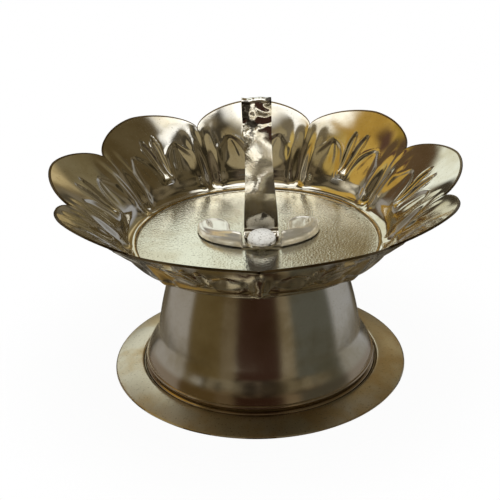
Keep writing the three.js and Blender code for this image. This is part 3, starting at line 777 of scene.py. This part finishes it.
@dataclass
class PetalBowl:
    """One pressed sheet: flat floor, wall, bead, plain band and nine embossed petals."""

    floor_height: float = 33.1
    sheet: float = 0.5
    floor_radius: float = 28.7
    fillet: float = 0.3
    bead_radius: float = 29.3
    bead_height: float = 0.62
    bead_round: float = 0.22
    band_radius: float = 33.2
    band_rise: float = 3.9
    band_dip: float = 0.8
    band_steps: int = 6
    band_start: Point2 = (0.25, -0.08)
    band_near: float = 0.3
    petals: int = 9
    first_petal: float = 90.0
    tip: Point2 = (49.5, 17.4)
    notch: Point2 = (43.1, 13.3)
    fullness: float = 1.61
    roundness: float = 1.53
    flare: float = 0.55
    emboss: float = 0.42
    knuckle: float = 0.55
    fold: float = 0.75
    fold_width: float = 0.10
    gather: float = 0.62
    ridge_places: tuple[float, ...] = (0.0, 0.27, 0.86)
    leaf_places: tuple[float, ...] = (0.13, 0.56)
    leaf_reach: tuple[float, ...] = (0.68, 0.54)
    leaf_depth: tuple[float, ...] = (1.0, 0.8)
    leaf_vein: tuple[float, ...] = (0.0, 0.3)
    leaf_taper: float = 0.35
    leaf_rim: float = 0.28
    columns: int = 80
    rows: int = 40

    def rim(self, u: float) -> Point2:
        """Gives a petal's rim at u, from -1 at a notch over 0 at the tip to 1."""
        swell = max(0.0, 1 - abs(u) ** self.fullness) ** (1 / self.roundness)
        return (mix(self.notch[0], self.tip[0], swell), mix(self.notch[1], self.tip[1], swell))

    def slope(self, u: float) -> Point2:
        """Gives how far a step up the petal at u goes outward and upward."""
        rim_radius, rim_rise = self.rim(u)
        run, climb = rim_radius - self.band_radius, rim_rise - self.band_rise
        return run / math.hypot(run, climb), climb / math.hypot(run, climb)

    def nearest(self, x: float, y: float) -> tuple[int, float]:
        """Gives the petal nearest to a place, counted from the first, and the place's u on it."""
        turns = (math.degrees(math.atan2(y, x)) - self.first_petal) / 180 * self.petals
        petal = round(turns / 2)
        return petal, turns - 2 * petal

    def gathered(self, place: float, pull: float) -> float:
        """Draws a place in the fan of leaves, -1 to 1, in towards the petal's middle line."""
        return place * (1 - pull * (1 - place * place))

    def palmette(self, place: float, v: float) -> float:
        """Gives the height of the pressed palmette, about -1 in a leaf to 1 on a ridge.

        Args:
            place: Place in the fan of leaves, -1 to 1, which the ridges run along.
            v: Place along the petal, 0 at the shoulder to 1 at the rim.

        Returns:
            Height as a share of the emboss.
        """
        place = abs(place)
        height = 0.0
        for k, centre in enumerate(self.leaf_places):
            left, right = self.ridge_places[k], self.ridge_places[k + 1]
            along = v / self.leaf_reach[k]
            if along > 1.1 or not left <= place < right:
                continue
            # a leaf keeps its width for a third of its length and then runs out to a point
            width = 1 - ramp(along, self.leaf_taper, 1.0) ** 2.6
            half = (centre - left if place < centre else right - centre) * max(0.02, width)
            off = abs(place - centre) / half
            depth = self.leaf_depth[k] * min(1.0, 3.0 * width)
            hollow = -depth * max(0.0, 1 - off * off) * smoothstep(v, 0.04, 0.34)
            vein = self.leaf_vein[k] * welt(off, 0.0, 0.2) * smoothstep(along, 0.12, 0.5)
            ridge = self.leaf_rim * depth * welt(off, 1.0, 0.3) * smoothstep(v, 0.0, 0.1)
            height = hollow + ridge + vein
        return height

    def crease(self, u: float) -> float:
        """Gives the depth of the fold between two petals at u, with a soft welt beside it."""
        off = (1 - abs(u)) / self.fold_width
        return self.fold * (welt(off, 0.0, 1.0) - 0.45 * welt(off, 2.1, 0.8))

    def petal_point(self, place: float, v: float) -> Point3:
        """Gives a point of the petal as (share of the petal's angle, radius, rise)."""
        u = self.gathered(place, self.gather * (1 - smoothstep(v, 0.0, self.leaf_reach[0] * 1.3)))
        rim_radius, rim_rise = self.rim(u)
        run, climb = self.slope(u)
        lift = (self.flare * 4 * v * (1 - v) + self.emboss * self.palmette(place, v)
                + self.knuckle * welt(v, 0.05, 0.06) * welt(u, 0.0, 0.11))
        lift -= self.crease(u) * (1 - smoothstep(v, 0.15, 0.95))
        return (u, mix(self.band_radius, rim_radius, v) - lift * climb,
                mix(self.band_rise, rim_rise, v) + lift * run)

    def _petal(self) -> Part:
        """Presses one petal from a grid; its lowest row lies on the shoulder circle."""

        def press(point: Vector) -> Vector:
            share, radius, rise = self.petal_point(point.x, (point.y + 1) / 2)
            angle = math.radians(self.first_petal) - share * math.pi / self.petals
            return Vector((radius * math.cos(angle), radius * math.sin(angle),
                           self.floor_height + rise))

        return Bench.grid(self.columns, self.rows, press)

    def _middle(self) -> Part:
        """Spins the floor, fillet, wall, bead and band as one open sheet."""
        bead_centre = self.bead_height - self.bead_round
        band = []
        for i in range(1, self.band_steps + 1):
            s = i / self.band_steps
            dip = self.band_dip * math.sin(math.pi * s)
            band.append((mix(self.bead_radius + self.band_start[0], self.band_radius, s),
                         mix(self.bead_height + self.band_start[1], self.band_rise, s) - dip))
        outline = [(0.0, 0.0), (self.floor_radius * 0.5, 0.0), (self.floor_radius * 0.9, 0.0),
                   *arc((self.floor_radius, self.fillet), self.fillet, -90, -12, 5),
                   (self.bead_radius - self.bead_round, bead_centre),
                   *arc((self.bead_radius, bead_centre), self.bead_round, 150, 62, 5), *band]
        drawn = Bench.line("bowl_middle", [(0.0, r, self.floor_height + h) for r, h in outline])
        Bench.turn(self.petals * self.columns)
        Bench.leave()

        def gather(point: Vector) -> Vector:
            # the band's points draw together towards the shoulder, as the petal's lowest row does
            radius = math.hypot(point.x, point.y)
            near = smoothstep(radius, self.bead_radius + self.band_near, self.band_radius)
            if near == 0.0 or point.z < self.floor_height + 0.1:
                return point
            petal, place = self.nearest(point.x, point.y)
            share = self.gathered(place, self.gather * near)
            angle = math.radians(self.first_petal) + math.pi / self.petals * (2 * petal + share)
            sunk = self.crease(share) * near
            run, climb = self.slope(share)
            radius += sunk * climb
            return Vector((radius * math.cos(angle), radius * math.sin(angle),
                           point.z - sunk * run))

        Bench.move_points(drawn, gather)
        return drawn

    def build(self) -> Part:
        """Presses nine petals, joins them to the middle and gives the sheet its thickness.

        Returns:
            The bowl, with faces of the floor and of the cut rim ready to be told apart.
        """
        petal = self._petal()
        Bench.edit(petal)
        for _ in range(self.petals - 1):
            bpy.ops.mesh.duplicate()
            bpy.ops.transform.rotate(value=FULL_TURN / self.petals, orient_axis="Z",
                                     center_override=(0, 0, 0))
        Bench.leave()
        bowl = Bench.join("pressed_petal_bowl", [petal, self._middle()])
        Bench.edit(bowl)
        bpy.ops.mesh.remove_doubles(threshold=10 * SEAM)
        Bench.outward()
        Bench.leave()
        middle = min(bowl.data.polygons, key=lambda f: f.center.xy.length)
        if middle.normal.z < 0:
            Bench.edit(bowl)
            bpy.ops.mesh.flip_normals()
            Bench.leave()
        Bench.modify(bowl, "SOLIDIFY", thickness=self.sheet * MM, offset=-1.0,
                     use_rim=True, material_offset_rim=1)
        Bench.smooth(bowl, 55)
        return bowl

    def dress(self, bowl: Part) -> None:
        """Gives petals, cut rim, floor and bead their own finishes."""
        petals, cut, floor, bead = range(4)
        for face in bowl.data.polygons:
            if face.material_index == cut:
                continue
            out = face.center.xy.length / MM
            face.material_index = floor if out < self.floor_radius + self.fillet * 0.7 else petals
            if abs(out - self.bead_radius) < self.bead_round * 0.95:
                face.material_index = bead
            if out > self.notch[0] * 0.9:
                # the last row of each petal wears thin along its sheared rim
                rim = self.rim(self.nearest(face.center.x, face.center.y)[1])[0]
                if (out - self.band_radius) / (rim - self.band_radius) > 1 - 1.1 / self.rows:
                    face.material_index = cut
        mount(bowl, "petal_bowl", "bright_plate", BOWL_PLATING.material(),
              CutEdge().material(), FLOOR_PLATING.material(), BEAD_PLATING.material())


# wick holder


class Side(Enum):
    """The two sides of the scroll foot, as the sign of X."""

    LEFT = -1
    RIGHT = 1


@dataclass
class ScrollFoot:
    """Flat lug with two die-struck arms that widen to dished round lobes."""

    floor: float = 33.4
    lug_foot: float = 33.16
    lug_sheet: float = 0.8
    lug_front: float = 1.3
    lug_back: float = 3.2
    lug_lap: float = 0.5
    lug_bevel: float = 0.18
    tab_half: float = 4.1
    gap: float = 0.3
    root_height: float = 3.0
    root_half: float = 2.2
    root_back: float = 0.4
    elbow_back: float = 2.8
    lobe_start: float = 0.72
    lobe_height: float = 1.8
    lobe_radius: float = 4.0
    lobe_spread: float = 10.3
    lobe_back: float = 9.6
    left_stretch: float = 1.2
    face: float = 2.3
    crest: float = 1.3
    root_crest: float = 2.6
    sheet: float = 0.75
    edge_round: float = 0.4
    lip: float = 0.22
    lip_inset: float = 0.55
    lip_width: float = 0.3
    unevenness: float = 0.16
    uneven_size: float = 2.4
    along: int = 60
    across: int = 44

    def arm_point(self, side: Side, share: float, turn: float) -> Vector:
        """Gives a point of an arm's top.

        Args:
            side: Which arm.
            share: 0 at the root beside the tab to 1 at the far end of the lobe.
            turn: -1 at the arm's back edge to 1 at its front edge.

        Returns:
            The point in millimetres.
        """
        spread = self.lobe_spread + (self.left_stretch if side is Side.LEFT else 0)
        root = Vector((self.tab_half + self.gap, self.root_back))
        elbow, lobe = Vector((spread, self.elbow_back)), Vector((spread, self.lobe_back))
        way = ramp(share, 0.0, self.lobe_start)
        place = root * (1 - way) ** 2 + elbow * 2 * way * (1 - way) + lobe * way ** 2
        ahead = ((elbow - root) * (1 - way) + (lobe - elbow) * way).normalized()
        ahead = Vector((1.0, 0.0)).lerp(ahead, ramp(way, 0.0, 0.3)).normalized()
        wide = smoothstep(way, 0.1, 0.9)
        half = mix(self.root_half, self.lobe_radius, wide)
        out = 0.0
        if share > self.lobe_start:
            angle = math.pi / 2 * ramp(share, self.lobe_start, 1.0)
            out, half = self.lobe_radius * math.sin(angle), self.lobe_radius * math.cos(angle)
        aside = half * math.sin(turn * math.pi / 2)
        inside = half - abs(aside) if out == 0 else self.lobe_radius - math.hypot(out, aside)
        place = place + ahead * out + Vector((ahead.y, -ahead.x)) * aside
        up = self._rise(inside, self.lobe_radius - aside if out else half - aside, wide, out)
        return Vector((RIVET_X + side.value * place.x, RIVET_Y + place.y,
                       self.floor + up * rounded(share * 40)))

    def _rise(self, inside: float, from_front: float, wide: float, out: float) -> float:
        """Gives the arm's height: a thin sheet with a lip, and a crest along its front edge."""
        thin = (self.sheet * rounded(inside / self.edge_round)
                + self.lip * welt(inside, self.lip_inset, self.lip_width))
        tall = mix(self.root_height, self.lobe_height + 0.3, wide) - self.sheet
        face = math.sin(math.pi / 2 * min(1.0, inside / self.face))
        back = self.face + mix(self.root_crest, self.crest, wide)
        fall = 1 - smoothstep(from_front, self.face, back)
        return thin + tall * face * fall * (1 - smoothstep(out, 0.0, 2.2))

    def _arm(self, side: Side) -> Part:
        """Strikes an arm's top from a grid and closes it below with one flat face."""
        arm = Bench.grid(self.across, self.along,
                         lambda p: self.arm_point(side, (p.y + 1) / 2, p.x))
        Bench.edit(arm)
        bpy.ops.mesh.remove_doubles(threshold=SEAM)
        bpy.ops.mesh.select_all(action="DESELECT")
        bpy.ops.mesh.select_mode(type="EDGE")
        bpy.ops.mesh.select_non_manifold()
        bpy.ops.mesh.edge_face_add()
        bpy.ops.mesh.select_mode(type="VERT")
        bpy.ops.mesh.select_all(action="SELECT")
        Bench.outward()
        Bench.leave()
        return arm

    def _lug(self) -> Part:
        """Makes the flat lug from a cube, with bevelled edges."""
        Bench.clear()
        width = 2 * (self.tab_half + self.gap + self.lug_lap)
        middle = RIVET_Y + (self.lug_back - self.lug_front) / 2
        bpy.ops.mesh.primitive_cube_add(size=1, location=(
            RIVET_X * MM, middle * MM, (self.lug_foot + self.lug_sheet / 2) * MM))
        lug = bpy.context.object
        lug.scale = (width * MM, (self.lug_back + self.lug_front) * MM, self.lug_sheet * MM)
        bpy.ops.object.transform_apply(location=True, rotation=True, scale=True)
        Bench.modify(lug, "BEVEL", width=self.lug_bevel * MM, segments=3)
        return lug

    def build(self) -> Part:
        """Joins lug and arms to one piece."""
        pieces = [self._arm(Side.RIGHT), self._arm(Side.LEFT), self._lug()]
        foot = Bench.join("struck_scroll_foot", pieces)

        def uneven(point: Vector) -> Vector:
            rise = smoothstep(point.z, self.floor + 0.3, self.floor + 1.2)
            way = noise.noise(point / self.uneven_size)
            return point + Vector((0, 0, self.unevenness * way * rise))

        Bench.move_points(foot, uneven)
        Bench.smooth(foot, 60)
        return foot

    def dress(self, foot: Part) -> None:
        """Gives the scrolls their milky, tinned plating."""
        mount(foot, "scroll_foot", "bright_plate", SCROLL_PLATING.material())


@dataclass
class WickStrap:
    """Bent strip: rounded tab under the rivet, upright post, head folded back."""

    tab_top: float = 34.75
    sheet: float = 0.7
    top: float = 68.1
    back: float = 4.3
    foot_width: float = 8.2
    neck_width: float = 6.4
    neck_drop: float = 14.0
    head_width: float = 6.9
    bend: float = 1.5
    hook_depth: float = 2.8
    hook_drop: float = 7.8
    hook_bend: float = 0.75
    edge_bevel: float = 0.16
    twist: float = -0.24
    lean: float = -0.45
    dent_depth: float = 0.13
    dent_size: float = 5.0
    crumple_depth: float = 0.42
    crumple_size: float = 1.8
    end_wear: float = 0.25
    across: int = 14

    def side_line(self) -> list[Point2]:
        """Gives the strip's middle line as (y, z), from the tab's end to the folded end."""
        middle = self.tab_top - self.sheet / 2
        post = RIVET_Y + self.back
        half = self.foot_width / 2
        front = RIVET_Y - half
        high = self.top - self.sheet / 2 - self.hook_bend
        low = middle + self.bend
        line = [(front + half * (1 - math.cos(math.pi / 2 * i / 9)), middle) for i in range(10)]
        line += [(RIVET_Y + half * 0.35 * i, middle) for i in (1, 2)]
        line += arc((post - self.bend, low), self.bend, -90, 0, 8)
        line += [(post, mix(low, high, i / 40)) for i in range(1, 40)]
        line += arc((post + self.hook_bend, high), self.hook_bend, 180, 90, 6)
        behind = post + self.hook_depth - self.sheet
        line += arc((behind - self.hook_bend, high), self.hook_bend, 90, 0, 6)
        line += [(behind, mix(high, self.top - self.hook_drop, i / 8)) for i in range(1, 9)]
        return line

    def half_width(self, y: float, z: float) -> float:
        """Gives half the strip's width where its middle line passes (y, z)."""
        half = self.foot_width / 2
        if y < RIVET_Y:
            from_front = y - (RIVET_Y - half)
            return max(0.35, math.sqrt(max(0.0, half ** 2 - (half - from_front) ** 2)))
        drop = self.top - z
        if drop < self.neck_drop:
            return mix(self.head_width, self.neck_width, smoothstep(drop, 0, self.neck_drop)) / 2
        share = smoothstep(drop, self.neck_drop, self.top - self.tab_top)
        return mix(self.neck_width, self.foot_width, share) / 2

    def build(self) -> Part:
        """Sweeps a level line along the strip's path, thickens it and dents it by hammer."""
        path = self.side_line()
        width = self.half_width(*path[0])
        level = [(RIVET_X + mix(-width, width, i / self.across), *path[0])
                 for i in range(self.across + 1)]
        strap = Bench.line("hammered_wick_strap", level)
        bpy.ops.mesh.select_all(action="SELECT")
        for (ay, az), (by, bz) in zip(path, path[1:]):
            bpy.ops.mesh.extrude_region_move(
                TRANSFORM_OT_translate={"value": (0, (by - ay) * MM, (bz - az) * MM)})
            wider = self.half_width(by, bz)
            bpy.ops.transform.resize(value=(wider / width, 1, 1), center_override=(
                RIVET_X * MM, by * MM, bz * MM))
            width = wider
        Bench.leave()
        Bench.modify(strap, "SOLIDIFY", thickness=self.sheet * MM, offset=0.0)
        Bench.edit(strap)
        Bench.outward()
        Bench.leave()
        Bench.modify(strap, "BEVEL", width=self.edge_bevel * MM, segments=3,
                     limit_method="ANGLE", angle_limit=math.radians(60))
        Bench.modify(strap, "SUBSURF", levels=1, render_levels=1)
        Bench.move_points(strap, self._hammer)
        Bench.smooth(strap, 60)
        return strap

    def _hammer(self, point: Vector) -> Vector:
        """Dents and twists the post a little, most of all near its head."""
        rise = (point.z - self.tab_top) / (self.top - self.tab_top)
        if rise < 0.05:
            return point
        place = Vector((point.x, 0.0, point.z))
        twist = self.twist * math.sin(math.pi * ramp(rise, 0.3, 0.8))
        dents = (self.dent_depth * noise.noise(place / self.dent_size)
                 * smoothstep(rise, 0.3, 0.7))
        dents += (self.crumple_depth * noise.noise(place / self.crumple_size)
                  * smoothstep(rise, 0.68, 0.88))
        worn = self.end_wear * abs(noise.noise(place / 2.2)) if rise > 0.97 else 0.0
        return Vector((point.x + self.lean * smoothstep(rise, 0.1, 1.0),
                       point.y + twist * (point.x - RIVET_X) + dents, point.z - worn))

    def dress(self, strap: Part) -> None:
        """Gives the strap its hammered plating."""
        mount(strap, "wick_strap", "bright_plate", STRAP_PLATING.material())


@dataclass
class DomeRivet:
    """Dome-head rivet through tab, lug, bowl and pedestal top, with its tail upset below."""

    seat: float = 34.8
    dome_radius: float = 3.35
    dome_height: float = 2.2
    shank_radius: float = 1.5
    tail_top: float = 30.1
    tail_height: float = 0.9
    tail_radius: float = 2.4
    dent: float = 0.05
    dent_size: float = 1.6
    fine_dent: float = 0.02
    fine_dent_size: float = 0.6

    def build(self) -> Part:
        """Spins the rivet, roughs its head with the hammer and sets it in its hole."""
        crown = arc((0.0, self.seat), self.dome_radius, 90, 0, 14, self.dome_height)
        foot = self.tail_top - self.tail_height
        outline = [(0.0, self.seat + self.dome_height), *crown[1:],
                   (self.shank_radius, self.seat), (self.shank_radius, self.tail_top),
                   (self.tail_radius, self.tail_top), (self.tail_radius, foot + 0.4),
                   (self.shank_radius * 1.2, foot), (0.0, foot)]
        rivet = Bench.spun("hammered_dome_rivet", outline, 72)

        def strike(point: Vector) -> Vector:
            dent = 1.0
            if point.z > self.seat + 0.05:
                dent = (1 + self.dent * noise.noise(point / self.dent_size)
                        + self.fine_dent * noise.noise(point / self.fine_dent_size))
            return Vector((point.x * dent + RIVET_X, point.y * dent + RIVET_Y,
                           self.seat + (point.z - self.seat) * min(dent, 1.0)))

        Bench.move_points(rivet, strike)
        Bench.smooth(rivet, 45)
        return rivet

    def dress(self, rivet: Part) -> None:
        """Gives the rivet its tinned head, painted a matt near-white as its sheen."""
        mount(rivet, "dome_rivet", "bright_plate", RIVET_PLATING.material())


# studio


@dataclass(frozen=True)
class Card:
    """A soft-edged card of the studio that the plating mirrors, as a patch of the sky.

    Bearings are in degrees: 0 stands behind the camera, 90 to the camera's right, 180 behind
    the lamp. A strength of 1 shows the colour as it is written.
    """

    name: str
    bearing: float
    height: float
    half_width: float
    half_height: float
    colour: str
    softness: float
    strength: float = 1.0


# the room's walls and the table, which light and dark things break up
ROOM = (
    Card("walls", 0, 0, 190, 95, "#635B4B", 7),
    Card("table", 0, -52, 190, 42, "#524B3E", 5),
    Card("table_far", -128, -45, 26, 16, "#93908B", 7),
    Card("table_near", 0, -80, 190, 16, "#49433A", 6),
    Card("table_front", 0, -36, 30, 22, "#57524A", 8),
    Card("ceiling_front", 0, 61, 62, 12, "#443C2E", 6),
    Card("left_wall", -130, 18, 26, 22, "#6E6757", 7),
    Card("right_wall", 130, 32, 34, 28, "#5A5243", 8),
    Card("upper_left", -58, 52, 38, 10, "#5A5141", 7),
    Card("upper_right", 70, 52, 50, 13, "#4A4231", 7),
    Card("side_light", -93, 26, 10, 8, "#B9B2A2", 5),
    Card("left_window", -72, 27, 6, 5, "#FFFFFF", 3, 1.2),
    Card("camera_side", 0, 36, 22, 22, "#463D33", 8),
)
# in front of those things
CLEAR_CARDS = (
    # the white ceiling, then what the back petals and the floor mirror, behind the lamp
    Card("ceiling_edge", 0, 71, 62, 7, "#9A8D6E", 3),
    Card("skylight", 0, 90, 190, 9, "#FFFFFF", 4, 1.6),
    Card("white_strip_left", -104, 76, 13, 10, "#FFFFFF", 2, 1.3),
    Card("white_strip_right", 100, 67, 5, 6, "#FFFFFF", 2, 1.3),
    Card("olive_right", 126, 50, 20, 13, "#5C5038", 4),
    Card("gold_left", -92, 58, 11, 8, "#C9B06A", 4),
    Card("brass_left", -120, 53, 21, 18, "#B4944A", 3, 1.2),
    Card("maroon_left", -126, 46, 5, 5, "#5A4236", 3),
    Card("brass_low", -137, 44, 4, 7, "#9B8038", 2),
    Card("brown_left_low", -140, 32, 13, 11, "#5F4C37", 3),
    Card("khaki_right_low", 145, 27, 10, 12, "#7A7056", 4),
    Card("back_brown", -168, 42, 12, 6, "#96845F", 4),
    Card("back_light", -165, 25, 17, 13, "#EFF4EA", 2, 1.1),
    Card("back_khaki", 167, 27, 11, 14, "#806E48", 3),
    Card("gold_right_low", 159, 24, 4, 9, "#C9B88F", 3),
    Card("back_window", -178, 52, 8, 7, "#FFFFFF", 3, 1.4),
    Card("skylight_back", 180, 78, 75, 14, "#FFFFFF", 3, 1.6),
    # the light that the bowl's underside and the strap's middle catch below the camera
    Card("low_light", -22, -24, 17, 9, "#CFC8B8", 6, 1.1),
    # the darker things round the camera that the pedestal's wall mirrors as upright bands
    Card("left_light_band", -112, 0, 28, 21, "#9F9B98", 5),
    Card("olive_band", -64, 0, 22, 21, "#635538", 4),
    Card("left_strip_band", -35, 0, 8, 21, "#6E624E", 3),
    Card("green_grey_band", 64, 0, 30, 21, "#595952", 4),
    Card("right_strip_band", 29, 0, 8, 21, "#877D6B", 3),
    Card("maroon_band", -2, 0, 24, 21, "#3A2820", 4),
    Card("right_light_band", 118, 0, 26, 21, "#A3A4A8", 5),
)


@dataclass
class Studio:
    """White floor and sky, plain soft light, coloured cards for the mirror, and the camera."""

    camera_place: Point3 = (-0.0018, -0.2920, 0.1744)
    camera_right: Point3 = (0.99964, -0.0119, -0.0241)
    camera_up: Point3 = (0.0268, 0.4427, 0.8963)
    lens: float = 97.5
    floor_radius: float = 0.078
    floor_sunk: float = 0.0002
    floor_colour: str = "#BDB9B0"
    fade_from: float = 0.5
    fade_to: float = 0.98
    camera_glow: float = 0.96
    mirror_clear: float = 0.85
    things_scale: float = 4.5
    things_dark: float = 0.45
    things_light: float = 1.6

    def build(self) -> None:
        """Builds the floor, the sky and the camera."""
        self._floor()
        self._sky()
        self._camera()
        bpy.context.scene.view_settings.view_transform = "Standard"

    def _floor(self) -> None:
        """Makes the pale floor: a matt round sheet with the lamp's shadow and a faded edge."""
        Bench.clear()
        bpy.ops.mesh.primitive_circle_add(vertices=128, radius=self.floor_radius,
                                          fill_type="NGON", location=(0, 0, -self.floor_sunk))
        bpy.ops.object.transform_apply(location=True, rotation=True, scale=True)
        ground = bpy.context.object
        ground.name = "studio_floor"
        made = bpy.data.materials.new("matt_pale_floor")
        graph = Graph(made)
        edge = graph.fade(graph.length(graph.place), self.floor_radius * self.fade_from,
                          self.floor_radius * self.fade_to)
        rays = graph.add_node("ShaderNodeLightPath").outputs
        mirrored = graph.maths("MAXIMUM", rays["Is Glossy Ray"], rays["Is Transmission Ray"])
        glow = graph.maths("MULTIPLY", rays["Is Camera Ray"], self.camera_glow)
        faded = graph.maths("MULTIPLY_ADD", mirrored, self.mirror_clear, edge)
        matt = graph.add_node("ShaderNodeBsdfDiffuse", {"Color": linear(self.floor_colour)})
        white = graph.add_node("ShaderNodeEmission", {"Color": WHITE, "Strength": 1.0})
        both = graph.either(faded, graph.either(glow, matt, white),
                            graph.add_node("ShaderNodeBsdfTransparent"))
        graph.add_node("ShaderNodeOutputMaterial", {"Surface": both.outputs[0]})
        ground.data.materials.append(made)

    def _sky(self) -> None:
        """Makes the sky: plain white for the camera and the floor, cards for the mirror."""
        world = bpy.data.worlds.new("soft_studio")
        world.cycles.sampling_method = "NONE"
        bpy.context.scene.world = world
        graph = Graph(world, "Generated")
        height = graph.maths("ARCSINE", graph.height())
        seen: Any = WHITE
        for card in ROOM:
            seen = self._card(graph, height, seen, card)
        seen = self._things(graph, seen)
        for card in CLEAR_CARDS:
            seen = self._card(graph, height, seen, card)
        rays = graph.add_node("ShaderNodeLightPath")
        mirror = graph.add_node("ShaderNodeBackground", {"Color": seen, "Strength": 1.0})
        plain = graph.add_node("ShaderNodeBackground", {"Color": WHITE, "Strength": 1.0})
        sky = graph.either(rays.outputs["Is Glossy Ray"], plain, mirror)
        graph.add_node("ShaderNodeOutputWorld", {"Surface": sky.outputs[0]})

    def _things(self, graph: Graph, under: Socket) -> Socket:
        """Breaks the walls up into the light and dark things that stand before them."""
        shade = graph.add_node("ShaderNodeTexNoise", {
            "Vector": graph.place, "Scale": self.things_scale, "Detail": 1.5, "Roughness": 0.5},
            noise_dimensions="3D")
        level = graph.fade(shade.outputs["Fac"], 0.40, 0.60, self.things_dark, self.things_light)
        return graph.add_node("ShaderNodeVectorMath", {0: under, "Scale": level},
                              operation="SCALE").outputs["Vector"]

    def _card(self, graph: Graph, height: Socket, under: Any, card: Card) -> Socket:
        """Lays one card over the sky.

        Args:
            graph: The world's node tree, which has the direction of the ray.
            height: Elevation of the ray in radians.
            under: Colour of the sky so far.
            card: The card.

        Returns:
            Colour of the sky with the card.
        """
        turned = graph.add_node("ShaderNodeVectorRotate", {
            "Vector": graph.place, "Angle": -math.radians(card.bearing - 90)},
            rotation_type="Z_AXIS", label=card.name)
        flat = graph.add_node("ShaderNodeSeparateXYZ", {0: turned.outputs[0]}).outputs
        bearing = graph.maths("ARCTAN2", flat["Y"], flat["X"])
        masks = []
        for value, centre, half in ((bearing, 0.0, card.half_width),
                                    (height, math.radians(card.height), card.half_height)):
            off = graph.maths("ABSOLUTE", graph.maths("SUBTRACT", value, centre))
            masks.append(graph.fade(off, math.radians(half - card.softness),
                                    math.radians(half + card.softness), 1.0, 0.0))
        return graph.blend(graph.maths("MULTIPLY", *masks), under,
                           linear(card.colour, card.strength))

    def _camera(self) -> None:
        """Sets the camera where the photo was taken from."""
        data = bpy.data.cameras.new("camera")
        camera = bpy.data.objects.new("camera", data)
        bpy.context.scene.collection.objects.link(camera)
        data.sensor_width = 36.0
        data.lens = self.lens
        data.clip_start, data.clip_end = 0.01, 20.0
        right, up = Vector(self.camera_right), Vector(self.camera_up)
        for row in range(3):
            for column, axis in enumerate((right, up, right.cross(up))):
                camera.matrix_world[row][column] = axis[row]
        camera.location = self.camera_place
        bpy.context.scene.camera = camera


def main() -> None:
    """Builds the lamp round its frame, then the studio."""
    logging.basicConfig(level=logging.INFO, format="%(name)s: %(message)s")
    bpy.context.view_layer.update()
    for maker in (BasePlate(), Pedestal(), SolderRuns(), PetalBowl(), ScrollFoot(), WickStrap(),
                  DomeRivet()):
        maker.dress(maker.build())
    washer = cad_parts["rivet_washer"]
    washer.data.materials.clear()
    washer.data.materials.append(BASE_PLATING.material())
    Studio().build()


if __name__ == "__main__":
    main()
